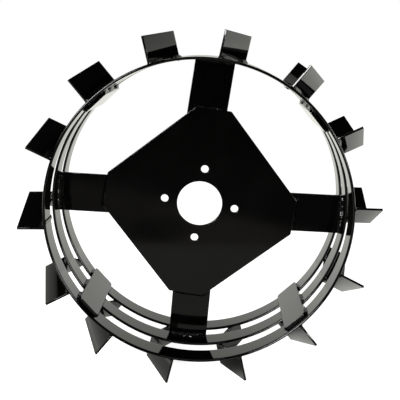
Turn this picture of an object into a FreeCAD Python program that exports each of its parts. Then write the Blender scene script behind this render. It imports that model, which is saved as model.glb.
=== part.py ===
"""Cage wheel of a walking tiller: a plate hub, four arms, three hoops and a ring of chevron lugs.

The wheel's axle line is Y and its front face looks along -Y. The origin is the wheel's centre, halfway
across its width. Each piece that repeats round the wheel is made where its radius runs along +X, and is
then turned about Y. Angles are in degrees, anticlockwise as seen from the front. Lengths are millimetres.
"""
import FreeCAD, Part
import os
from math import asin, atan2, cos, degrees, radians, sin, sqrt

from FreeCAD import Vector

# Hoops: flat strip rolled on its face, three in a row across the width
hoop_outside_diameter = 420.0
strip_width = 30.0
strip_thickness = 4.0
hoop_gap = 30.0
seam_gap = 2.0
# Each hoop's seam lies under a lug, counted anticlockwise from the first one
seam_lug_number = {"front": 7, "middle": 4, "rear": 2}

# Lugs: flat bar folded on its face, standing on its edge across the hoops
lug_bar_width = 35.0
lug_bar_thickness = 3.0
lug_sweep = 36.0
lug_fold_radius = 3.0
lug_edge_chamfer = 0.5
# How many degrees each lug, which is set by hand, stands anticlockwise of its even place
lug_drift = (-1.0, 0.0, -1.0, 1.0, 0.5, 1.0, 0.5, 1.0, 2.0, -0.5, -1.0, -0.5, 0.0, -1.0)

# Centre plate: a square cut from sheet, with its corners cut off where the arms leave it
plate_side = 230.0
plate_corner_edge = 50.0
plate_thickness = 5.0
plate_turn = -7.9
plate_edge_chamfer = 0.8
bore_diameter = 65.0
bolt_circle_diameter = 102.0
bolt_hole_diameter = 11.0
bolt_hole_count = 4

# Arms: flat bars lapped behind the plate and butted on the middle hoop
arm_width = 56.0
arm_thickness = 5.0
arm_turn = -4.5
arm_lap = 57.0
arm_edge_chamfer = 0.6
# How many degrees each arm, which is set by hand, is skewed anticlockwise at this radius
arm_skew = {"right": 2.5, "top": -4.0, "left": 2.0, "bottom": 0.0}
arm_skew_radius = 150.0

# Tie plates: flat bars inside the hoops, halfway between the arms
tie_plate_width = 36.0
tie_plate_thickness = 5.0
tie_plate_setback = 7.0
tie_plate_corner_cut = 3.0
# How many degrees each one stands anticlockwise of the line halfway between two arms
tie_plate_drift = (-1.0, 2.0, 1.0, 2.0)

# Weld beads: leg of each fillet, and how far a bead stops short of the end of its seat
plate_weld_leg = 4.0
arm_weld_leg = 5.0
tie_plate_weld_leg = 3.5
lug_weld_leg = 3.5
weld_end_margin = 1.5
cap_bead_width = 7.0
cap_bead_height = 1.2

# Worked out from the sizes above
hoop_outer_radius = hoop_outside_diameter / 2
hoop_inner_radius = hoop_outer_radius - strip_thickness
hoop_pitch = strip_width + hoop_gap
half_width = hoop_pitch + strip_width / 2
hoop_places = {"front": -hoop_pitch, "middle": 0.0, "rear": hoop_pitch}
lug_tip_radius = hoop_outer_radius + lug_bar_width
lug_angle_step = 360.0 / len(lug_drift)
plate_corner_reach = plate_side / sqrt(2) - plate_corner_edge / 2
arm_back = strip_width / 2
arm_front = arm_back - arm_thickness
plate_front = arm_front - plate_thickness
arm_inner_end = plate_corner_reach - arm_lap
tie_plate_outer_face = sqrt(hoop_inner_radius ** 2 - (tie_plate_width / 2) ** 2)
tie_plate_half_length = half_width - tie_plate_setback

axle_centre = Vector(0, 0, 0)
axle_line = Vector(0, 1, 0)
# How far a cutting tool runs past what it cuts, and what counts as the same place
overrun = 1.0
same_place = 1e-6


def turned(shape, angle):
    """The shape turned anticlockwise about the axle line, as seen from the front."""
    copy = shape.copy()
    copy.rotate(axle_centre, axle_line, -angle)
    return copy


def disc(radius, y_low, y_high):
    """A solid cylinder on the axle line between two planes."""
    return Part.makeCylinder(radius, y_high - y_low, Vector(0, y_low, 0), axle_line)


def block(x_low, x_high, y_low, y_high, z_low, z_high):
    """A box between two corners."""
    corner = Vector(x_low, y_low, z_low)
    return Part.makeBox(x_high - x_low, y_high - y_low, z_high - z_low, corner)


def prism(points, travel):
    """A solid made by pushing the closed outline of the points along the vector travel."""
    return Part.Face(Part.makePolygon(points + points[:1])).extrude(travel)


def swept_round(profile, first_angle, last_angle):
    """A solid made by turning an outline of (radius, y) points about the axle between two angles."""
    points = [Vector(radius, y, 0) for radius, y in profile]
    face = Part.Face(Part.makePolygon(points + points[:1]))
    face = turned(face, first_angle)
    return face.revolve(axle_centre, axle_line, -(last_angle - first_angle))


def chamfered(shape, size, chosen):
    """The shape with a chamfer on each edge for which chosen(edge) is true."""
    return shape.makeChamfer(size, [edge for edge in shape.Edges if chosen(edge)])


def fillet_skirt(outline, foot, rise, leg):
    """A sloping skirt round an outline: it stands out by the leg at the foot and closes at the leg's height.

    The foot is the height of the seat along the unit vector rise, measured from the outline's plane.
    The skirt also runs on below its seat by one leg, so that a curved seat can trim it.
    """
    wire = Part.makePolygon(outline + outline[:1])
    spread = Part.Face(wire).makeOffset2D(2 * leg, 2).OuterWire
    spread.translate(rise * (foot - leg))
    top = wire.copy()
    top.translate(rise * (foot + leg))
    return Part.makeLoft([spread, top], True, True)


def group(solids):
    """Separate solids that share one node."""
    return Part.makeCompound([solid for shape in solids for solid in shape.Solids])


def lug_line(y):
    """How far the middle of a lug's bar stands anticlockwise of the lug's own radius at the place y."""
    return lug_sweep * (abs(y) / half_width - 0.5)


def lug_outline():
    """The folded bar seen end on: six corners in the plane across the lug's radius, ends cut square."""
    lean = atan2(lug_sweep, half_width)
    half = lug_bar_thickness / 2
    fold_inside = Vector(0, 0, lug_line(0) + half / cos(lean))
    fold_outside = Vector(0, 0, lug_line(0) - half / cos(lean))
    reach = half_width - half * sin(lean)
    run = reach / cos(lean)
    along = Vector(0, cos(lean), sin(lean)) * run
    end_middle = Vector(0, 0, lug_line(0)) + along
    across = Vector(0, -sin(lean), cos(lean)) * half
    rear_inside, rear_outside = end_middle + across, end_middle - across
    front_inside = Vector(0, -rear_inside.y, rear_inside.z)
    front_outside = Vector(0, -rear_outside.y, rear_outside.z)
    return [front_outside, fold_outside, rear_outside, rear_inside, fold_inside, front_inside]


def make_lug(angle):
    """One lug: the outline pushed out along the radius, its fold rounded and its foot cut to the hoops.

    The blank starts one sweep inside the hoops, which is deeper than their curve can reach into its foot.
    """
    foot = hoop_outer_radius - lug_sweep
    points = [point + Vector(foot, 0, 0) for point in lug_outline()]
    bar = prism(points, Vector(lug_tip_radius - foot, 0, 0))
    folds = [edge for edge in bar.Edges if on_fold(edge)]
    folds.sort(key=lambda edge: edge.BoundBox.ZMin)
    bar = bar.makeFillet(lug_fold_radius + lug_bar_thickness, folds[:1])
    inside = [edge for edge in bar.Edges if on_fold(edge) and edge.BoundBox.ZMin > lug_line(0)]
    bar = bar.makeFillet(lug_fold_radius, inside)
    bar = chamfered(bar, lug_edge_chamfer, on_lug_rim)
    bar = bar.cut(disc(hoop_outer_radius, -half_width - overrun, half_width + overrun))
    return turned(bar, angle)


def on_fold(edge):
    """True for the two edges of the fold, which run out along the radius at the middle of the width."""
    box = edge.BoundBox
    return box.XLength > overrun and abs(box.YMin) < same_place and abs(box.YMax) < same_place


def on_lug_rim(edge):
    """True for the edges of a lug's outer rim."""
    return edge.BoundBox.XMin > lug_tip_radius - same_place


def make_hoop(name):
    """One hoop: a strip rolled until its ends almost meet, at a seam under the leaf of a lug."""
    y = hoop_places[name]
    gap_angle = degrees(seam_gap / hoop_outer_radius)
    low, high = y - strip_width / 2, y + strip_width / 2
    section = [(hoop_inner_radius, low), (hoop_outer_radius, low),
               (hoop_outer_radius, high), (hoop_inner_radius, high)]
    start = seam_angles[name] + gap_angle / 2
    return swept_round(section, start, start + 360.0 - gap_angle)


def make_seam_weld(name):
    """The weld that fills a hoop's seam and stands a little proud inside the strip."""
    y = hoop_places[name]
    middle = seam_angles[name]
    gap_angle = degrees(seam_gap / hoop_outer_radius)
    low, high = y - strip_width / 2, y + strip_width / 2
    crown_radius = hoop_inner_radius - cap_bead_height
    fill = swept_round(
        [(crown_radius, low), (hoop_outer_radius, low), (hoop_outer_radius, high), (crown_radius, high)],
        middle - gap_angle / 2, middle + gap_angle / 2)
    half = cap_bead_width / 2
    crown = prism([Vector(hoop_inner_radius, low, -half), Vector(crown_radius, low, -seam_gap / 2),
                   Vector(crown_radius, low, seam_gap / 2), Vector(hoop_inner_radius, low, half)],
                  Vector(0, strip_width, 0))
    crown = turned(crown.common(disc(hoop_inner_radius, low, high)), middle)
    return crown.fuse(fill).removeSplitter()


def plate_outline(y):
    """The plate's eight corners in the plane y, from its first cut corner on, anticlockwise."""
    points = []
    for corner in range(4):
        direction = radians(plate_turn + 90.0 * corner)
        for side in (-1, 1):
            across = side * plate_corner_edge / 2
            points.append(Vector(plate_corner_reach * cos(direction) - across * sin(direction), y,
                                 plate_corner_reach * sin(direction) + across * cos(direction)))
    return points


def make_centre_plate():
    """The plate with its bore and its bolt holes, which lie on the lines to the cut corners."""
    sheet = prism(plate_outline(plate_front), Vector(0, plate_thickness, 0))
    sheet = chamfered(sheet, plate_edge_chamfer, lambda edge: edge.BoundBox.YLength < same_place)
    sheet = sheet.cut(disc(bore_diameter / 2, plate_front - overrun, arm_front + overrun))
    for number in range(bolt_hole_count):
        hole = disc(bolt_hole_diameter / 2, plate_front - overrun, arm_front + overrun)
        hole.translate(Vector(bolt_circle_diameter / 2, 0, 0))
        sheet = sheet.cut(turned(hole, plate_turn + 360.0 / bolt_hole_count * number))
    return sheet


def set_arm(shape, side):
    """A shape made along +X, skewed and turned into the place of one arm."""
    copy = shape.copy()
    copy.rotate(Vector(arm_skew_radius, 0, 0), axle_line, -arm_skew[side])
    return turned(copy, arm_angles[side])


def arm_end_angle(side, across):
    """The angle at which a line along an arm, at a distance across it, meets the hoops' inner face."""
    skew = arm_skew[side]
    distance = across - arm_skew_radius * sin(radians(skew))
    return arm_angles[side] + skew + degrees(asin(distance / hoop_inner_radius))


def make_arm(side):
    """One arm: a flat bar whose outer end is cut to the middle hoop's curve."""
    half = arm_width / 2
    bar = block(arm_inner_end, hoop_outer_radius, arm_front, arm_back, -half, half)
    bar = chamfered(bar, arm_edge_chamfer, lambda edge: edge.BoundBox.XLength > overrun)
    return set_arm(bar, side).common(disc(hoop_inner_radius, arm_front, arm_back))


def make_tie_plate(angle):
    """One tie plate: a flat bar with clipped corners, its two outer long edges on the hoops' inner face."""
    half, length, cut = tie_plate_width / 2, tie_plate_half_length, tie_plate_corner_cut
    corners = [(length, half - cut), (length - cut, half), (cut - length, half), (-length, half - cut),
               (-length, cut - half), (cut - length, -half), (length - cut, -half), (length, cut - half)]
    points = [Vector(tie_plate_outer_face - tie_plate_thickness, y, z) for y, z in corners]
    return turned(prism(points, Vector(tie_plate_thickness, 0, 0)), angle)


def make_lug_welds(lug, angle):
    """The beads at one lug's foot, along both faces of the bar and only where it crosses a hoop."""
    skirt = fillet_skirt(lug_outline(), hoop_outer_radius, Vector(1, 0, 0), lug_weld_leg)
    skirt = turned(skirt, angle).cut(lug)
    skirt = skirt.cut(disc(hoop_outer_radius, -half_width - overrun, half_width + overrun))
    reach = strip_width / 2 - weld_end_margin
    return [skirt.common(disc(lug_tip_radius, y - reach, y + reach)) for y in hoop_places.values()]


def make_tie_plate_welds(angle):
    """The beads along a tie plate's two sides, where it crosses each hoop."""
    half = tie_plate_width / 2
    side = half_width + tie_plate_weld_leg
    outline = [Vector(0, -side, -half), Vector(0, side, -half), Vector(0, side, half), Vector(0, -side, half)]
    seat = -tie_plate_outer_face
    skirt = fillet_skirt(outline, seat, Vector(-1, 0, 0), tie_plate_weld_leg)
    skirt = skirt.cut(block(0, hoop_outer_radius, -side, side, -half, half))
    skirt = turned(skirt, angle)
    beads = []
    for y in hoop_places.values():
        low = max(y - strip_width / 2, -tie_plate_half_length + tie_plate_corner_cut) + weld_end_margin
        high = min(y + strip_width / 2, tie_plate_half_length - tie_plate_corner_cut) - weld_end_margin
        beads.append(skirt.common(disc(hoop_inner_radius, low, high)))
    return beads


def make_plate_welds(plate, arm, side):
    """The beads between the plate and one arm: round the plate's corner, and round the arm's lap behind."""
    half = arm_width / 2
    reach = half - weld_end_margin
    far = hoop_inner_radius - weld_end_margin
    seat = set_arm(block(arm_inner_end, far, plate_front, arm_front, -reach, reach), side)
    front = fillet_skirt(plate_outline(0), -arm_front, Vector(0, -1, 0), plate_weld_leg)
    front = front.common(seat).cut(plate)
    lap = [Vector(arm_inner_end, 0, -half), Vector(far, 0, -half),
           Vector(far, 0, half), Vector(arm_inner_end, 0, half)]
    back = set_arm(fillet_skirt(lap, arm_front, Vector(0, 1, 0), plate_weld_leg), side)
    back = back.common(prism(plate_outline(arm_front), Vector(0, arm_thickness, 0))).cut(arm)
    return [front, back]


def make_arm_welds(side):
    """The beads at one arm's outer end: a fillet in front, and a low cap over the flush joint behind."""
    reach = arm_width / 2 - weld_end_margin
    start, end = arm_end_angle(side, -reach), arm_end_angle(side, reach)
    fillet = swept_round(
        [(hoop_inner_radius, arm_front), (hoop_inner_radius, arm_front - arm_weld_leg),
         (hoop_inner_radius - arm_weld_leg, arm_front)], start, end)
    half = strip_thickness - arm_edge_chamfer
    cap = swept_round(
        [(hoop_inner_radius - half, arm_back), (hoop_inner_radius + half, arm_back),
         (hoop_inner_radius + half / 2, arm_back + cap_bead_height),
         (hoop_inner_radius - half / 2, arm_back + cap_bead_height)], start, end)
    return [fillet, cap]


lug_angles = [lug_angle_step * number + drift for number, drift in enumerate(lug_drift)]
arm_angles = {"right": arm_turn, "top": arm_turn + 90, "left": arm_turn + 180, "bottom": arm_turn + 270}
tie_plate_angles = [arm_turn + 45 + 90 * number + drift for number, drift in enumerate(tie_plate_drift)]
seam_angles = {name: lug_angles[seam_lug_number[name]] + degrees(asin(lug_line(y) / hoop_outer_radius))
               for name, y in hoop_places.items()}

nodes = {"centre_plate": make_centre_plate()}
for name in hoop_places:
    nodes[name + "_hoop"] = make_hoop(name)
nodes["hoop_seam_welds"] = group([make_seam_weld(name) for name in hoop_places])

plate_welds, arm_welds = [], []
for side in arm_angles:
    arm = make_arm(side)
    nodes["arm_" + side] = arm
    plate_welds += make_plate_welds(nodes["centre_plate"], arm, side)
    arm_welds += make_arm_welds(side)
nodes["plate_welds"] = group(plate_welds)
nodes["arm_welds"] = group(arm_welds)

tie_plate_welds = []
for number, angle in enumerate(tie_plate_angles, 1):
    tie_plate = make_tie_plate(angle)
    nodes["tie_plate_%d" % number] = tie_plate
    tie_plate_welds += make_tie_plate_welds(angle)
nodes["tie_plate_welds"] = group(tie_plate_welds)

lug_welds = []
for number, angle in enumerate(lug_angles, 1):
    lug = make_lug(angle)
    nodes["lug_%02d" % number] = lug
    lug_welds += make_lug_welds(lug, angle)
nodes["lug_welds"] = group(lug_welds)

os.makedirs("parts", exist_ok=True)
for node, shape in nodes.items():
    shape.exportStep("parts/" + node + ".step")
    state = "valid" if shape.isValid() else "not valid"
    print(node, len(shape.Solids), "solids", round(shape.Volume), "mm3", state)
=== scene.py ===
"""Cage wheel of a walking tiller, in gloss black enamel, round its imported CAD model.

Lengths are metres, and those written in millimetres are multiplied by mm. The axle line is Y and the
front face looks along -Y. Angles about the axle are anticlockwise as seen from the front, from +X.
"""
import math

import bpy
import numpy as np
from mathutils import Matrix, Vector
from mathutils.geometry import tessellate_polygon


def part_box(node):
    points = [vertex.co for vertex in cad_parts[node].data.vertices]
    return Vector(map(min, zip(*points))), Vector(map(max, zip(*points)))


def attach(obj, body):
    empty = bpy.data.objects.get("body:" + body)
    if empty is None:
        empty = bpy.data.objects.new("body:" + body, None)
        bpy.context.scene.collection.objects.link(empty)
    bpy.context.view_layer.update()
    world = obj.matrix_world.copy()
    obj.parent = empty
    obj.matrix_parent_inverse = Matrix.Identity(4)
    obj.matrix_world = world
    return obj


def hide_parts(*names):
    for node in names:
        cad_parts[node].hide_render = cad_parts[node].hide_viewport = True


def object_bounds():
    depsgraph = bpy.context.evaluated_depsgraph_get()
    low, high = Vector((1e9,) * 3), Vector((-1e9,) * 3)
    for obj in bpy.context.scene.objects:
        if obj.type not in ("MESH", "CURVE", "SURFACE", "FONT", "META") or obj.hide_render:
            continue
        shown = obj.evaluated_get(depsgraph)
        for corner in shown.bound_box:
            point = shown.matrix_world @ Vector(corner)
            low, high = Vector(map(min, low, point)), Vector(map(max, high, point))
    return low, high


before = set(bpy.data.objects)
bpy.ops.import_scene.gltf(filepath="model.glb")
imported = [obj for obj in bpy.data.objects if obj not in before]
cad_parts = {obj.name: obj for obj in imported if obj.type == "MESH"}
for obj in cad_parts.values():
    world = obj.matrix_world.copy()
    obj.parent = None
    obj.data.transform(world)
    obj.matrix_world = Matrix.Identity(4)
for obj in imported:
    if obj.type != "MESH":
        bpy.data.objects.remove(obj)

cad_low, cad_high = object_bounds()
mm = 0.001


# Hoops
# Three rings of flat steel strip with rounded edges, rolled on the flat until the ends meet. The enamel
# shows the faint marks that the rolls left round the strip. The photographed strips are 35 mm wide, and
# the solids' 30 mm, so these reach further into the gaps.

class Socket:
    """One output of a node, on which Python's arithmetic adds Math nodes."""

    def __init__(self, tree, output):
        self.tree = tree
        self.output = output

    def math(self, operation, *values):
        return add_node(self.tree, "ShaderNodeMath", {"operation": operation}, dict(enumerate(values)))

    def __add__(self, other):
        return self.math("ADD", self, other)

    def __sub__(self, other):
        return self.math("SUBTRACT", self, other)

    def __mul__(self, other):
        return self.math("MULTIPLY", self, other)

    def __rsub__(self, other):
        return self.math("SUBTRACT", other, self)

    __radd__ = __add__
    __rmul__ = __mul__

    def step(self, low, high):
        """A smooth rise from 0 at low to 1 at high."""
        return add_node(self.tree, "ShaderNodeMapRange", {"interpolation_type": "SMOOTHSTEP"},
                        {"Value": self, "From Min": low, "From Max": high})


def add_node(tree, kind, settings, inputs, output=0):
    """Adds one node: its settings first, then the value or the link of each input. Returns one output."""
    node = tree.nodes.new(kind)
    for name, value in settings.items():
        setattr(node, name, value)
    for name, value in inputs.items():
        if isinstance(value, Socket):
            tree.links.new(value.output, node.inputs[name])
        else:
            node.inputs[name].default_value = value
    return Socket(tree, node.outputs[output]) if node.outputs else None


def mix(tree, share, first, second):
    """A colour between two, by the share of the second."""
    return add_node(tree, "ShaderNodeMix", {"data_type": "RGBA"}, {0: share, 6: first, 7: second}, 2)


def lumps(tree, place, size, detail=1.0):
    """Soft lumps of about that size, from 0 to 1."""
    return add_node(tree, "ShaderNodeTexNoise", {}, {"Vector": place, "Scale": 0.5 / size, "Detail": detail})


enamel_deep = (0.0006, 0.0006, 0.0006, 1.0)
enamel_hazed = (0.0020, 0.0019, 0.0018, 1.0)


def enamel(name, gloss, peel_depth, swell_depth, steel_marks=None):
    """Gloss black enamel: orange peel, slow unevenness of the coat, faint haze and a little dust.

    steel_marks(tree, place) gives the height of what the steel itself shows through the coat.
    """
    material = bpy.data.materials.new(name)
    material.use_nodes = True
    tree = material.node_tree
    tree.nodes.clear()
    place = add_node(tree, "ShaderNodeTexCoord", {}, {}, "Object")
    haze_size, dust_size, peel_size, swell_size = 25 * mm, 0.5 * mm, 2.5 * mm, 16 * mm
    haze = lumps(tree, place, haze_size, 3.0).step(0.35, 0.75)
    dust = lumps(tree, place, dust_size).step(0.74, 0.82)
    tone = haze * 0.5 + dust * 0.5
    colour = mix(tree, tone, enamel_deep, enamel_hazed)
    height = lumps(tree, place, peel_size) * peel_depth + lumps(tree, place, swell_size) * swell_depth
    if steel_marks:
        height = height + steel_marks(tree, place)
    normal = add_node(tree, "ShaderNodeBump", {}, {"Height": height, "Distance": 1.0}, "Normal")
    roughness = haze * 0.03 + dust * 0.15 + gloss
    shader = add_node(tree, "ShaderNodeBsdfPrincipled", {},
                      {"Base Color": colour, "Roughness": roughness, "Normal": normal, "IOR": 1.52})
    add_node(tree, "ShaderNodeOutputMaterial", {}, {"Surface": shader})
    return material


def strip_section(width, height, nose_width, nose_height):
    """A rectangle about (0, 0) with round corners, as points anticlockwise. Each corner is a quarter of an
    ellipse, with one more point past each of its ends that keeps the flats flat."""
    turn = np.radians(np.linspace(0.0, 90.0, 9))
    guard = 0.1 * mm
    out = width / 2 - nose_width * (1 - np.cos(turn))
    up = height / 2 - nose_height * (1 - np.sin(turn))
    corner = np.stack([out, up], -1)
    corner = np.concatenate([corner[:1] - [[0, guard]], corner, corner[-1:] - [[guard, 0]]])
    across = np.array([[-1, 1]])
    upper = np.concatenate([corner, corner[::-1] * across])
    return np.concatenate([upper, -upper])


def tube(sections):
    """A closed solid from sections[station, point, xyz]: the points are joined round each section and from
    one section to the next, and the first and last sections are closed by one face each."""
    rows, points = sections.shape[:2]
    here = np.arange(rows * points).reshape(rows, points)
    beside = np.roll(here, -1, axis=1)
    sides = np.stack([here[:-1], beside[:-1], beside[1:], here[1:]], -1).reshape(-1, 4)
    faces = sides.tolist() + [here[0, ::-1].tolist(), here[-1].tolist()]
    return outward(sections.reshape(-1, 3), faces)


def outward(points, faces):
    """The solid with its faces turned outwards: the sum of its corner tetrahedra has to be positive."""
    volume = 0.0
    for size in {len(face) for face in faces}:
        corners = points[np.array([face for face in faces if len(face) == size])]
        for second in range(1, size - 1):
            across = np.cross(corners[:, second], corners[:, second + 1])
            volume += np.einsum("ij,ij->", corners[:, 0], across)
    return points, faces if volume > 0 else [face[::-1] for face in faces]


def make_piece(name, solids, material, slot, *nodes):
    """One mesh object from closed solids, smooth but for its sharp edges, in place of the CAD nodes."""
    starts = np.cumsum([0] + [len(points) for points, faces in solids])
    faces = [[start + corner for corner in face]
             for start, (points, own) in zip(starts, solids) for face in own]
    mesh = bpy.data.meshes.new(name)
    mesh.from_pydata(np.concatenate([points for points, own in solids]), [], faces)
    mesh.shade_smooth()
    mesh.set_sharp_from_angle(angle=math.radians(40.0))
    mesh.materials.append(material)
    piece = bpy.data.objects.new(name, mesh)
    bpy.context.scene.collection.objects.link(piece)
    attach(piece, "root")
    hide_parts(*nodes)
    return piece


def around(radius, angle, y):
    """Points at a radius, an angle about the axle in radians and a place along it."""
    radius, angle, y = np.broadcast_arrays(radius, angle, y)
    return np.stack([radius * np.cos(angle), y, radius * np.sin(angle)], -1)


hoop_outer_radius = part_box("front_hoop")[1].z
strip_thickness = 4 * mm
hoop_inner_radius = hoop_outer_radius - strip_thickness
strip_width = 35 * mm
strip_nose_width, strip_nose_height = 1.8 * mm, 3.4 * mm
hoop_places = {"front": cad_low.y + strip_width / 2, "middle": 0.0, "rear": cad_high.y - strip_width / 2}
seam_gap = 2 * mm
# Each seam lies under a leaf of a lug, so the lugs' places are needed here.
lug_drift = (-1.0, 0.0, -1.0, 1.0, 0.5, 1.0, 0.5, 1.0, 2.0, -0.5, -1.0, -0.5, 0.0, -1.0)
lug_count = len(lug_drift)
lug_angles = np.arange(lug_count) / lug_count * 2 * math.pi + np.radians(lug_drift)
half_width = cad_high.y
lug_sweep = 36 * mm
seam_lugs = {"front": 7, "middle": 4, "rear": 2}
seam_angles = {side: lug_angles[seam_lugs[side]]
               + math.asin(lug_sweep * (abs(y) / half_width - 0.5) / hoop_outer_radius)
               for side, y in hoop_places.items()}


def roll_marks(tree, place):
    """Fine ridges along the strip: noise that is drawn out round the axle and quick across the width."""
    x, y, z = (add_node(tree, "ShaderNodeSeparateXYZ", {}, {"Vector": place}, axis) for axis in "XYZ")
    draw_out = 0.02
    mark_size, mark_depth = 0.8 * mm, 0.0008 * mm
    stretched = add_node(tree, "ShaderNodeCombineXYZ", {}, {"X": x * draw_out, "Y": y, "Z": z * draw_out})
    return lumps(tree, stretched, mark_size, 2.0) * mark_depth


def make_hoop(side, phase):
    """The section is carried round the axle. Radius = the section's own, plus a slow waver that the rolls
    left, less a crown that is 0 at the strip's edges."""
    section = strip_section(strip_thickness, strip_width, strip_nose_width, strip_nose_height)
    start = seam_angles[side] + seam_gap / 2 / hoop_outer_radius
    angle = start + np.linspace(0.0, 2 * math.pi - seam_gap / hoop_outer_radius, 361)[:, None]
    slow_waver, quick_waver, crown_height, sway_reach = 0.10 * mm, 0.05 * mm, 0.08 * mm, 0.15 * mm
    waver = slow_waver * np.sin(3 * angle + phase) + quick_waver * np.sin(8 * angle + 2 * phase)
    crown = crown_height * (1 - (2 * section[:, 1] / strip_width) ** 2)
    radius = (hoop_outer_radius + hoop_inner_radius) / 2 + section[:, 0] + waver - crown
    sway = sway_reach * np.sin(2 * angle + phase)
    solid = tube(around(radius, angle, hoop_places[side] + section[:, 1] + sway))
    return make_piece(side + "_hoop_strip", [solid], hoop_enamel, "black_paint", side + "_hoop")


hoop_enamel = enamel("hoop_enamel", 0.02, 0.0008 * mm, 0.004 * mm, roll_marks)
for number, side in enumerate(hoop_places):
    make_hoop(side, 1.7 * number)


# Centre plate
# A square of 5 mm plate with its corners cut off, a bore and four bolt holes. Its cut edges are broken
# before painting, so the enamel rolls over them.

def unit(vectors):
    """The vectors, each divided by its length."""
    return vectors / np.linalg.norm(vectors, axis=-1, keepdims=True)


def flat_plate(loops, thickness, edge_radius, place):
    """A plate from closed outlines [point, uv], the outer one anticlockwise and the holes clockwise.

    An edge profile, two quarter circles and the land between them, is carried round each outline, and the
    two faces inside it are filled. place(u, v, w) maps the plate's own axes, w across it, to the wheel's.
    """
    turn = np.radians(np.linspace(0.0, 90.0, 5))
    guard = 0.3 * mm
    depth = np.concatenate([[edge_radius + guard], edge_radius * (1 - np.sin(turn))])
    height = thickness / 2 - np.concatenate([[0.0], edge_radius * (1 - np.cos(turn))])
    depth, height = np.concatenate([depth, depth[::-1]]), np.concatenate([height, -height[::-1]])
    points, faces, first, last, start = [], [], [], [], 0
    for loop in loops:
        after, before = np.roll(loop, -1, 0) - loop, loop - np.roll(loop, 1, 0)
        side_after, side_before = (unit(np.stack([-step[:, 1], step[:, 0]], -1)) for step in (after, before))
        inward = (side_after + side_before) / (1 + np.sum(side_after * side_before, 1))[:, None]
        rings = loop + depth[:, None, None] * inward
        count, rows = len(loop), len(depth)
        points.append(np.concatenate([rings, np.broadcast_to(height[:, None, None], (rows, count, 1))], -1))
        here = start + np.arange(rows * count).reshape(rows, count)
        beside = np.roll(here, -1, 1)
        faces += np.stack([here[:-1], here[1:], beside[1:], beside[:-1]], -1).reshape(-1, 4).tolist()
        first.append(here[0])
        last.append(here[-1])
        start += rows * count
    points = np.concatenate([grid.reshape(-1, 3) for grid in points])
    for rims, order in ((first, 1), (last, -1)):
        corners = np.concatenate(rims)
        triangles = tessellate_polygon([[Vector((*points[i, :2], 0)) for i in rim] for rim in rims])
        for triangle in triangles:
            a, b, c = (corners[i] for i in triangle)
            way = np.cross(points[b] - points[a], points[c] - points[a])[2]
            faces.append([a, b, c][::order] if way > 0 else [c, b, a][::order])
    return outward(place(*points.T), [[int(corner) for corner in face] for face in faces])


def round_corners(corners, radius, steps=4):
    """The outline with each convex corner replaced by an arc that touches both of its sides."""
    outline = []
    for before, corner, after in zip(np.roll(corners, 1, 0), corners, np.roll(corners, -1, 0)):
        back, ahead = unit(before - corner), unit(after - corner)
        half = math.acos(np.clip(back @ ahead, -1, 1)) / 2
        middle = corner + unit(back + ahead) * radius / math.sin(half)
        start, end = (corner + way * radius / math.tan(half) - middle for way in (back, ahead))
        sweep = np.linspace(0.0, math.pi - 2 * half, steps + 1)
        across = unit(end - start * math.cos(math.pi - 2 * half)) * radius
        outline += [middle + start * math.cos(a) + across * math.sin(a) for a in sweep]
    return np.array(outline)


def ring_hole(middle, radius, count):
    """A round hole's outline, clockwise."""
    angle = -np.arange(count) / count * 2 * math.pi
    return middle + radius * np.stack([np.cos(angle), np.sin(angle)], -1)


def facing_front(middle_y):
    """Lays a plate across the axle: u along +X, v along +Z, w towards the front."""
    return lambda u, v, w: np.stack([u, middle_y - w, v], -1)


def turned(points, angle):
    """Points, or outlines [point, uv], turned anticlockwise about the axle line."""
    c, s = math.cos(angle), math.sin(angle)
    x, z = points[..., 0], points[..., -1]
    return np.stack([x * c - z * s, *np.moveaxis(points[..., 1:-1], -1, 0), x * s + z * c], -1)


plate_side = 230 * mm
plate_corner_edge = 50 * mm
plate_corner_radius = 1.6 * mm
plate_edge_radius = 0.8 * mm
plate_turn = math.radians(-7.9)
plate_front, plate_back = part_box("centre_plate")[0].y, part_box("centre_plate")[1].y
plate_corner_reach = plate_side / math.sqrt(2) - plate_corner_edge / 2
bore_radius = 32.5 * mm
bolt_circle_radius = 51 * mm
bolt_hole_radius = 5.5 * mm
quarters = np.arange(4) * math.pi / 2

corner_pair = np.array([[plate_corner_reach, end * plate_corner_edge / 2] for end in (-1, 1)])
plate_outline = np.concatenate([turned(corner_pair, plate_turn + quarter) for quarter in quarters])
bolt_place = np.array([bolt_circle_radius, 0.0])
bolt_places = [turned(bolt_place, plate_turn + quarter) for quarter in quarters]
plate_loops = [round_corners(plate_outline, plate_corner_radius)]
plate_loops += [ring_hole(np.zeros(2), bore_radius, count=96)]
plate_loops += [ring_hole(place, bolt_hole_radius, count=40) for place in bolt_places]
plate_enamel = enamel("plate_enamel", 0.06, 0.005 * mm, 0.012 * mm)
plate_solid = flat_plate(plate_loops, plate_back - plate_front, plate_edge_radius,
                         facing_front((plate_front + plate_back) / 2))
make_piece("centre_plate_sheet", [plate_solid], plate_enamel, "black_paint", "centre_plate")


# Arms
# Four flat bars lapped behind the plate's corners. Their outer ends are cut to the middle hoop's curve
# and butted on its inner face.

arm_turn = math.radians(-4.5)
arm_half_width = 28 * mm
arm_edge_radius = 0.7 * mm
arm_lap = 57 * mm
arm_skew = {"right": 2.5, "top": -4.0, "left": 2.0, "bottom": 0.0}
arm_skew_point = np.array([150 * mm, 0.0])
arm_front = plate_back
arm_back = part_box("arm_top")[1].y
arm_inner_end = plate_corner_reach - arm_lap
arm_angles = dict(zip(arm_skew, arm_turn + quarters))


def set_arm(points, side):
    """Points or outlines along +X, skewed about the arm's own pivot and turned to its place on the wheel."""
    pivot = np.zeros(points.shape[-1])
    pivot[0] = arm_skew_point[0]
    skewed = turned(points - pivot, math.radians(arm_skew[side])) + pivot
    return turned(skewed, arm_angles[side])


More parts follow.
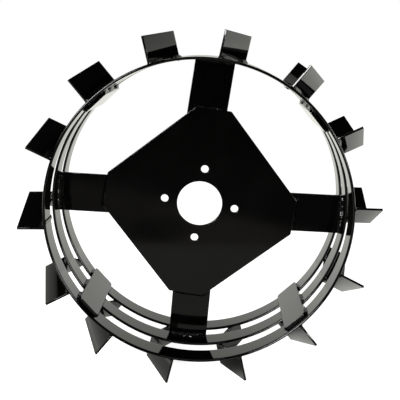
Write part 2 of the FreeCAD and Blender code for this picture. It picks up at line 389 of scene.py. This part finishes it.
def arm_end_angle(side, across):
    """The angle at which a line along the arm, at a distance across it, meets the hoops' inner face."""
    skew = math.radians(arm_skew[side])
    distance = across - arm_skew_point[0] * math.sin(skew)
    return arm_angles[side] + skew + math.asin(distance / hoop_inner_radius)


def arm_outline(side):
    """A rectangle whose outer end follows the hoop's inner face."""
    swing = np.linspace(arm_end_angle(side, -arm_half_width), arm_end_angle(side, arm_half_width), 25)
    outer = hoop_inner_radius * np.stack([np.cos(swing), np.sin(swing)], -1)
    inner = np.array([[arm_inner_end, arm_half_width], [arm_inner_end, -arm_half_width]])
    return np.concatenate([outer, set_arm(inner, side)])


for side in arm_angles:
    bar = flat_plate([arm_outline(side)], arm_back - arm_front, arm_edge_radius,
                     facing_front((arm_front + arm_back) / 2))
    make_piece("arm_" + side + "_bar", [bar], plate_enamel, "black_paint", "arm_" + side)


# Tie plates
# Four short flat bars inside the hoops, halfway between the arms, with clipped corners. They hold the
# three hoops at their spacing.

tie_half_width = 18 * mm
tie_thickness = 5 * mm
tie_end_margin = 7 * mm
tie_half_length = half_width - tie_end_margin
tie_corner_cut = 3 * mm
tie_corner_radius = 1.5 * mm
tie_edge_radius = 0.6 * mm
tie_outer_face = math.sqrt(hoop_inner_radius ** 2 - tie_half_width ** 2)
tie_drift = (-1.0, 2.0, 1.0, 2.0)
tie_angles = arm_turn + math.pi / 4 + quarters + np.radians(tie_drift)
tie_enamel = enamel("tie_plate_enamel", 0.06, 0.005 * mm, 0.012 * mm)


def tie_outline():
    """Eight corners in the plane of the axle and the chord: a rectangle with its corners cut at 45
    degrees."""
    length, half, cut = tie_half_length, tie_half_width, tie_corner_cut
    quadrant = np.array([[length, half - cut], [length - cut, half]])
    mirror = np.array([[-1, 1]])
    upper = np.concatenate([quadrant, quadrant[::-1] * mirror])
    return np.concatenate([upper, -upper])


def inside_hoops(angle):
    """Lays a tie plate at an angle: u along the axle, v along the chord, w towards the axle."""
    return lambda u, v, w: turned(np.stack([tie_outer_face - tie_thickness / 2 - w, u, v], -1), angle)


for number, angle in enumerate(tie_angles, 1):
    bar = flat_plate([round_corners(tie_outline(), tie_corner_radius)], tie_thickness, tie_edge_radius,
                     inside_hoops(angle))
    make_piece("tie_plate_%d_bar" % number, [bar], tie_enamel, "black_paint", "tie_plate_%d" % number)


# Lugs
# Fourteen flat bars, each folded to a chevron and stood on its edge across the hoops. The sheared rim is
# a little rounded, and the fold has the radius of the press's tool.

lug_tip_radius = cad_high.x
lug_half_thickness = 1.5 * mm
lug_fold_inner_radius = 3 * mm
lug_fold_radius = lug_fold_inner_radius + lug_half_thickness
lug_lean = math.atan2(lug_sweep, half_width)
lug_apex = -lug_sweep / 2
lug_half_run = (half_width - lug_half_thickness * math.sin(lug_lean)) / math.cos(lug_lean)
lug_enamel = enamel("lug_enamel", 0.055, 0.004 * mm, 0.010 * mm)


def fold_line(run):
    """The bar's centre line, seen end on, at a signed distance from the fold along the unfolded bar.

    Two straight leaves lean forward from the fold, and an arc touches both. Returns the places (y, z) and
    the unit vectors across the bar, towards the inside of the fold.
    """
    tangent = lug_fold_radius * math.tan(lug_lean)
    bend = np.clip(run / lug_fold_radius, -lug_lean, lug_lean)
    straight = np.abs(run) - lug_fold_radius * lug_lean
    along = tangent + straight
    leaf = np.stack([np.sign(run) * along * math.cos(lug_lean), lug_apex + along * math.sin(lug_lean)], -1)
    centre = lug_apex + lug_fold_radius / math.cos(lug_lean)
    arc = np.stack([lug_fold_radius * np.sin(bend), centre - lug_fold_radius * np.cos(bend)], -1)
    place = np.where(straight[:, None] > 0, leaf, arc)
    return place, np.stack([-np.sin(bend), np.cos(bend)], -1)


def make_lug(number, angle):
    """A slab section, from the hoops' outer face to the tip radius, is carried along the fold line.

    At both ends the section draws in along a quarter circle, which rounds the end's edges.
    """
    edge, guard = 0.45 * mm, 0.3 * mm
    turn = np.radians(np.linspace(0.0, 90.0, 4))
    draw_in = np.concatenate([[0.0], edge * (1 - np.cos(turn))])
    from_end = np.concatenate([[edge + guard], edge * (1 - np.sin(turn))])
    ends = lug_half_run - from_end
    inner = np.concatenate([np.linspace(0.0, lug_fold_radius * lug_lean, 7)[1:],
                            np.linspace(lug_fold_radius * lug_lean, ends[0], 16)[1:-1]])
    run = np.concatenate([-ends[::-1], -inner[::-1], [0.0], inner, ends])
    inset = np.concatenate([draw_in[::-1], np.zeros(2 * len(inner) + 1), draw_in])[:, None]
    place, across = fold_line(run)

    quarter = edge * (1 - np.stack([np.sin(turn), np.cos(turn)], -1))
    half_side = np.concatenate([[[0.0, edge + guard]], quarter[::-1][:, ::-1]])
    side_in, rim_in = half_side[:, 0], half_side[:, 1]
    offset = np.concatenate([side_in - lug_half_thickness, lug_half_thickness - side_in[::-1]])
    below = np.concatenate([rim_in, rim_in[::-1]])
    offset = np.concatenate([offset, -offset])
    below = np.concatenate([below, below])
    at_tip = np.repeat([1.0, 0.0], len(offset) // 2)

    shrunk = offset * (1 - inset / lug_half_thickness)
    y = place[:, 0, None] + across[:, 0, None] * shrunk
    z = place[:, 1, None] + across[:, 1, None] * shrunk
    foot = np.sqrt(hoop_outer_radius ** 2 - z ** 2) + below + inset
    tip = lug_tip_radius - below - inset
    x = np.where(at_tip, tip, foot)
    solid = tube(turned(np.stack([x, y, z], -1), angle))
    name = "lug_%02d" % number
    return make_piece(name + "_bar", [solid], lug_enamel, "black_paint", name)


for number, angle in enumerate(lug_angles, 1):
    make_lug(number, angle)


# Welds
# Fillet beads laid by hand, with the ripple of each pool left standing. The enamel lies thicker over
# them, so they shine in short broken lights.

weld_enamel = enamel("weld_enamel", 0.09, 0.010 * mm, 0.020 * mm)
ripple_pitch = 2.2 * mm
bead_lump_spacing = 4 * mm
bead_unevenness = 0.09
ripple_share = 0.12
luck = np.random.default_rng(3)


def distance_along(path):
    """How far along the path each of its points is."""
    steps = np.linalg.norm(np.diff(path, axis=0), axis=1)
    return np.concatenate([[0.0], np.cumsum(steps)])


def bead_swell(along, lag):
    """The share by which a bead swells: rounded ripples one pitch apart, lumps further apart and ends that
    run out. The ripples lag by up to a third of a pitch, which bows them back."""
    length = along[-1]
    phase = luck.uniform(0, math.pi)
    ripple = np.abs(np.sin(math.pi * (along[:, None] / ripple_pitch - lag) + phase)) ** 0.7
    knots = np.linspace(0.0, length, max(3, round(length / bead_lump_spacing)))
    lumps_by_column = [np.interp(along, knots, luck.normal(0.0, bead_unevenness, len(knots)))
                       for column in range(3)]
    columns = np.linspace(0.0, 2.0, lag.shape[-1])
    near, far = np.floor(columns).astype(int), np.ceil(columns).astype(int)
    uneven = np.stack(lumps_by_column, -1)
    uneven = uneven[:, near] * (1 - columns + near) + uneven[:, far] * (columns - near)
    ends = np.sqrt(np.clip(1 - np.abs(2 * along / length - 1) ** 7, 0.01, 1))
    return (1 - ripple_share * (1 - ripple) + uneven) * ends[:, None]


def fillet_bead(root, out, up, leg):
    """A bead in the corner between two faces. Its skin is an arc from one face to the other, at a radius of
    leg * (1 - 0.25 sin(2 turn)) from the root line, and the root point is sunk into the steel."""
    turn = np.radians(np.linspace(0.0, 90.0, 6))
    swell = bead_swell(distance_along(root), 0.33 * np.sin(2 * turn))
    radius = leg * (1 - 0.25 * np.sin(2 * turn)) * swell
    way = np.cos(turn)[:, None] * out[:, None] + np.sin(turn)[:, None] * up[:, None]
    skin = root[:, None] + radius[..., None] * way
    sink = 0.12 * mm
    skin[:, 0] -= sink * up
    skin[:, -1] -= sink * out
    heel = root - 3 * sink * (out + up)
    return tube(np.concatenate([skin, heel[:, None]], 1))


def stations(length):
    """How many stations a bead of that length needs: five for each ripple."""
    return int(5 * length / ripple_pitch) + 2


# Lug welds
# Short fillets laid by hand along a lug's foot, one on each of its faces wherever it crosses a hoop. They
# are all that holds the lug.

lug_weld_leg = 3.5 * mm
weld_margin = 1.5 * mm


def lug_beads(angle):
    """Each root follows the fold line along one face of the lug, at the hoops' outer radius."""
    beads = []
    for middle in hoop_places.values():
        ends = (np.array([-1, 1]) * (strip_width / 2 - weld_margin) + middle) / math.cos(lug_lean)
        run = np.linspace(*ends, stations(ends[1] - ends[0]))
        place, across = fold_line(run)
        for face in (-1, 1):
            y, z = (place + face * lug_half_thickness * across).T
            x = np.sqrt(hoop_outer_radius ** 2 - z ** 2)
            out = unit(face * np.stack([-across[:, 1] * z / x, across[:, 0], across[:, 1]], -1))
            up = np.broadcast_to([1.0, 0.0, 0.0], out.shape)
            points, faces = fillet_bead(np.stack([x, y, z], -1), out, up, lug_weld_leg)
            beads.append((turned(points, angle), faces))
    return beads


make_piece("lug_weld_beads", [bead for angle in lug_angles for bead in lug_beads(angle)], weld_enamel,
           "weld_paint", "lug_welds")


# Tie plate welds
# Short fillets in the hoops' inner faces, along both sides of a tie plate where it crosses each hoop. The
# tie plate's flat stands on two lines of the hoop, and the beads fill the corners beside them.

tie_weld_leg = 3.5 * mm


def tie_beads(angle):
    """Each root is an edge of the tie plate's outer face. One leg lies along the hoop, across the radius,
    and the other on the tie plate's side."""
    beads = []
    reach = tie_half_length - tie_corner_cut
    for middle in hoop_places.values():
        low = max(middle - strip_width / 2, -reach) + weld_margin
        high = min(middle + strip_width / 2, reach) - weld_margin
        y = np.linspace(low, high, stations(high - low))
        for side in (-1, 1):
            edge = side * tie_half_width
            root = np.stack([np.full_like(y, tie_outer_face), y, np.full_like(y, edge)], -1)
            out = unit(np.array([-tie_half_width / tie_outer_face, 0.0, side]))
            out = np.broadcast_to(out, root.shape)
            up = np.broadcast_to([-1.0, 0.0, 0.0], root.shape)
            points, faces = fillet_bead(root, out, up, tie_weld_leg)
            beads.append(outward(turned(points, angle), faces))
    return beads


make_piece("tie_plate_weld_beads", [bead for angle in tie_angles for bead in tie_beads(angle)], weld_enamel,
           "weld_paint", "tie_plate_welds")


# Plate welds
# Long fillets that join the plate to its arms. In front, one follows the plate's corner across the arm,
# and behind, one runs round the arm's lap.

plate_weld_leg = 4 * mm


def bent_path(corners, count):
    """Even stations along a line of corners, and the unit vector to the right of the way, eased round the
    corners by a mean over seven stations."""
    corners = np.array(corners)
    along = distance_along(corners)
    spots = np.linspace(0.0, along[-1], count)
    path = np.stack([np.interp(spots, along, corners[:, axis]) for axis in range(2)], -1)
    way = np.gradient(path, axis=0)
    kernel = np.ones(7) / 7
    way = np.stack([np.convolve(np.pad(way[:, axis], 3, "edge"), kernel, "valid") for axis in range(2)], -1)
    way = unit(way)
    return path, np.stack([way[:, 1], -way[:, 0]], -1)


def crossing(start, end, side):
    """Where the line from start to end is at v = side."""
    share = (side - start[1]) / (end[1] - start[1])
    return start + share * (end - start)


def plate_beads(side):
    """Both beads, laid out in the arm's own plane with its length along u, then set in the arm's place."""
    skew, turn = math.radians(arm_skew[side]), plate_turn - arm_turn
    local = np.concatenate([turned(corner_pair, turn + quarter) for quarter in quarters])
    local = turned(local - arm_skew_point, -skew) + arm_skew_point
    lower, upper, next_lower, last_upper = local[0], local[1], local[2], local[7]
    reach = arm_half_width - weld_margin
    low_rim = (last_upper, lower) if lower[1] > -arm_half_width else (lower, upper)
    low_end = crossing(*low_rim, -arm_half_width) - [weld_margin, 0]
    high_end = crossing(upper, next_lower, arm_half_width) - [weld_margin, 0]
    front = [crossing(*low_rim, -reach), lower, upper, crossing(upper, next_lower, reach)]
    if lower[1] < -reach:
        front = [crossing(lower, upper, -reach), upper, crossing(upper, next_lower, reach)]
    back = [high_end, [arm_inner_end, arm_half_width], [arm_inner_end, -arm_half_width], low_end]
    beads = []
    for corners, way in ((front, -1.0), (back, 1.0)):
        path, right = bent_path(corners, stations(distance_along(np.array(corners))[-1]))
        root = np.stack([path[:, 0], np.full(len(path), arm_front), path[:, 1]], -1)
        out = np.stack([right[:, 0], np.zeros(len(path)), right[:, 1]], -1)
        up = np.broadcast_to([0.0, way, 0.0], root.shape)
        points, faces = fillet_bead(root, out, up, plate_weld_leg)
        beads.append(outward(set_arm(points, side), faces))
    return beads


make_piece("plate_weld_beads", [bead for side in arm_angles for bead in plate_beads(side)], weld_enamel,
           "weld_paint", "plate_welds")


# Arm welds
# A fillet across the front of each arm's outer end, where it butts on the middle hoop. Behind, the strip
# stands out a little past the arm, and a narrow fillet fills that corner.

arm_weld_leg = 5 * mm


def arm_beads(side):
    """Both roots are arcs on the hoop's inner face, one at the arm's front face and one at its back."""
    reach = arm_half_width - weld_margin
    swing = np.linspace(arm_end_angle(side, -reach), arm_end_angle(side, reach), stations(2 * reach))
    outwards = around(1.0, swing, 0.0)
    forwards = np.broadcast_to([0.0, -1.0, 0.0], outwards.shape)
    fillet = fillet_bead(around(hoop_inner_radius, swing, arm_front), forwards, -outwards, arm_weld_leg)
    rear_leg = hoop_places["middle"] + strip_width / 2 - arm_back
    rear = fillet_bead(around(hoop_inner_radius, swing, arm_back), -forwards, -outwards, rear_leg)
    return [fillet, rear]


make_piece("arm_weld_beads", [bead for side in arm_angles for bead in arm_beads(side)], weld_enamel,
           "weld_paint", "arm_welds")


# Hoop seam welds
# Each closes the gap between a strip's two ends. The weld fills the gap and stands proud on the inner
# face as a low rippled cap, and it is ground flat on the outer face under the lug.

seam_cap_rise = 1.2 * mm
seam_cap_half_width = 3.5 * mm
seam_cap_sink = 0.2 * mm
seam_root_half_width = 1.1 * mm
seam_root_depth = 3.9 * mm
seam_end_margin = 0.3 * mm


def seam_bead(side):
    """The cap rises from the inner face by rise * (1 - w * w) over w from -1 to 1, with bowed ripples. Its
    base is sunk into the strip, and the root goes down from it through the gap."""
    length = strip_width - 2 * seam_end_margin
    y = hoop_places[side] + np.linspace(-0.5, 0.5, stations(strip_width)) * length
    line = np.stack([np.full_like(y, hoop_inner_radius), y, np.zeros_like(y)], -1)
    w = np.linspace(-1.0, 1.0, 9)
    ripple = np.abs(np.sin(math.pi * (y[:, None] / ripple_pitch + 0.5 * w * w)))
    rise = seam_cap_rise * (1 - w * w) * (0.85 + 0.15 * ripple)
    across = np.broadcast_to(seam_cap_half_width * w, rise.shape)
    skin = line[:, None] + np.stack([-rise, np.zeros_like(rise), across], -1)
    base_half_width = seam_cap_half_width - seam_cap_sink
    half_base = np.array([[seam_cap_sink, 0.0, base_half_width], [seam_cap_sink, 0.0, seam_root_half_width],
                          [seam_root_depth, 0.0, seam_root_half_width]])
    base = line[:, None] + np.concatenate([half_base, half_base[::-1] * [1, 1, -1]])
    return tube(turned(np.concatenate([skin, base], 1), seam_angles[side]))


make_piece("hoop_seam_beads", [seam_bead(side) for side in hoop_places], weld_enamel, "weld_paint",
           "hoop_seam_welds")


# Floor and studio
# A pale sheet that the wheel stands on and a pale screen behind it. The room is dark overhead and behind
# the camera, which is what the plate's black face shows. They aren't part of the wheel.

white = (1.0, 1.0, 1.0, 1.0)
warm_white = (1.0, 1.0, 0.93, 1.0)
brown = (1.0, 0.93, 0.80, 1.0)
pale = (0.93, 0.93, 0.93, 1.0)


def build_studio():
    """The screen is bright towards +Y, fades to the sides and upwards, and ends at its upper edge, which is
    as high as 0.83 of its distance and higher at the far left. The rest of the room is nearly dark. The
    camera itself sees plain white."""
    world = bpy.data.worlds.new("studio")
    bpy.context.scene.world = world
    world.use_nodes = True
    tree = world.node_tree
    tree.nodes.clear()
    way = add_node(tree, "ShaderNodeTexCoord", {}, {}, "Generated")
    x, y, z = (add_node(tree, "ShaderNodeSeparateXYZ", {}, {"Vector": way}, axis) for axis in "XYZ")
    to_camera = add_node(tree, "ShaderNodeLightPath", {}, {}, "Is Camera Ray")
    far_left = (x * -1.0).step(0.650, 0.662) * 0.285
    below_edge = 1 - z.math("DIVIDE", z, y + far_left).step(0.70, 0.96)
    screen = y.step(-0.12, 0.98) * below_edge * (1.14 - z * 0.95)
    dusk = (1 - z.step(-0.24, -0.08)) * 0.04 + 0.010
    room = add_node(tree, "ShaderNodeVectorMath", {"operation": "SCALE"},
                    {0: warm_white[:3], "Scale": screen + dusk})
    shader = add_node(tree, "ShaderNodeBackground", {},
                      {"Color": mix(tree, to_camera, room, white), "Strength": 1.0})
    add_node(tree, "ShaderNodeOutputWorld", {}, {"Surface": shader})


def build_floor():
    """A pale sheet under the wheel, from before it to the screen. For glossy rays its own lighting is nearly
    taken away and painted light in its emission stands in: steel shows it white behind and to the sides,
    darker in front, with a painted shadow round the wheel's contact and one painted pool of light to the
    right. It is brown before the sheet's front edge, with a dark spot painted where the camera's stand is."""
    ground = cad_low.z
    side, front, back = 3.0, -1.45, 4.0
    corners = [(-side, front, ground), (side, front, ground), (side, back, ground), (-side, back, ground)]
    mesh = bpy.data.meshes.new("floor")
    mesh.from_pydata(corners, [], [(0, 1, 2, 3)])
    floor = bpy.data.objects.new("floor", mesh)
    bpy.context.scene.collection.objects.link(floor)
    material = bpy.data.materials.new("floor")
    material.use_nodes = True
    tree = material.node_tree
    tree.nodes.clear()
    place = add_node(tree, "ShaderNodeTexCoord", {}, {}, "Object")
    x, y = (add_node(tree, "ShaderNodeSeparateXYZ", {}, {"Vector": place}, axis) for axis in "XY")
    to_camera = add_node(tree, "ShaderNodeLightPath", {}, {}, "Is Camera Ray")
    to_gloss = add_node(tree, "ShaderNodeLightPath", {}, {}, "Is Glossy Ray")
    before = 1 - y.step(-0.70, -0.60)
    # Painted light: the emission is brighter towards the sides of the front part of the sheet.
    sides = x.math("ABSOLUTE", x).step(0.25, 0.7) * (1 - y.step(-0.2, 0.8))
    contact_x, contact_y = x - 0.025, y - 0.03
    from_contact = contact_x * contact_x + contact_y * contact_y * 0.4
    # Painted shadow: the emission falls to a quarter round where the wheel touches the floor.
    painted_contact_shadow = from_contact.step(0.001, 0.005) * 0.75 + 0.25
    # Painted pool of light on the floor to the right of the wheel.
    painted_light_pool = (x - y * 0.8).step(0.07, 0.11) * y.step(-0.12, 0.02) * (1 - y.step(0.12, 0.28))
    # Painted light that glossy rays see on the sheet: brighter towards the screen and at the sides, with the
    # painted pool of light, times the painted shadow round the contact.
    sheet = (0.24 + y.step(-0.3, 1.2) * 0.78 + sides * 0.34 + painted_light_pool * 0.38) * painted_contact_shadow
    # A dark spot painted into the emission where the camera's stand is.
    stand_x, stand_y = (x + 0.12) * 12.0, (y + 0.79) * 7.0
    stand = 1 - (stand_x * stand_x + stand_y * stand_y).step(0.2, 1.6)
    # Painted light before the sheet's front edge: low, a little brighter to the right, and darker at the
    # painted spot.
    painted_front_light = (x.step(-0.25, 0.05) * 0.07 + 0.06) * (y - x).step(-1.12, -0.92) * (1 - stand * 0.8)
    tint = mix(tree, before, warm_white, brown)
    # Only glossy rays see this painted light; the camera sees the plain pale colour.
    shown = add_node(tree, "ShaderNodeVectorMath", {"operation": "SCALE"},
                     {0: tint, "Scale": (sheet + before * (painted_front_light - sheet)) * to_gloss})
    white_and_painted_light = mix(tree, to_camera, shown, pale)
    # For glossy rays the base colour falls to 0.03, so the painted emission stands in for the sheet's
    # lighting.
    shader = add_node(tree, "ShaderNodeBsdfPrincipled", {},
                      {"Base Color": 0.8 - to_gloss * 0.77, "Roughness": 1.0, "Specular IOR Level": 0.0,
                       "Emission Color": white_and_painted_light, "Emission Strength": 1.0})
    add_node(tree, "ShaderNodeOutputMaterial", {}, {"Surface": shader})
    mesh.materials.append(material)


softbox_distance = 1.8


def build_softbox(name, direction, size, power):
    """A square area lamp that faces the wheel's centre."""
    data = bpy.data.lights.new(name, "AREA")
    data.size = size
    data.energy = power
    lamp = bpy.data.objects.new(name, data)
    lamp.location = Vector(direction).normalized() * softbox_distance
    lamp.rotation_euler = Vector(direction).to_track_quat("Z", "Y").to_euler()
    lamp.visible_camera = False
    bpy.context.scene.collection.objects.link(lamp)


build_studio()
build_floor()
build_softbox("key_softbox", (-0.56, -0.70, 0.44), size=0.75, power=40.0)
build_softbox("side_softbox", (0.80, -0.55, 0.20), size=0.5, power=12.0)
build_softbox("top_softbox", (0.0, -0.15, 1.0), size=1.0, power=2.5)


# Camera
# The photograph's view: in front of the wheel, a little above its axle, turned to match its frame.

def build_camera():
    data = bpy.data.cameras.new("camera")
    data.sensor_width = 36.0
    data.lens = 64.94
    camera = bpy.data.objects.new("camera", data)
    place = Vector((27.797, -1013.352, 222.615)) * mm
    yaw, pitch, roll = (math.radians(angle) for angle in (1.529, -12.042, 0.677))
    camera.matrix_world = (Matrix.Translation(place) @ Matrix.Rotation(yaw, 4, "Z")
                           @ Matrix.Rotation(math.pi / 2 + pitch, 4, "X") @ Matrix.Rotation(roll, 4, "Z"))
    bpy.context.scene.collection.objects.link(camera)
    bpy.context.scene.camera = camera


build_camera()
bpy.context.scene.view_settings.view_transform = "Standard"
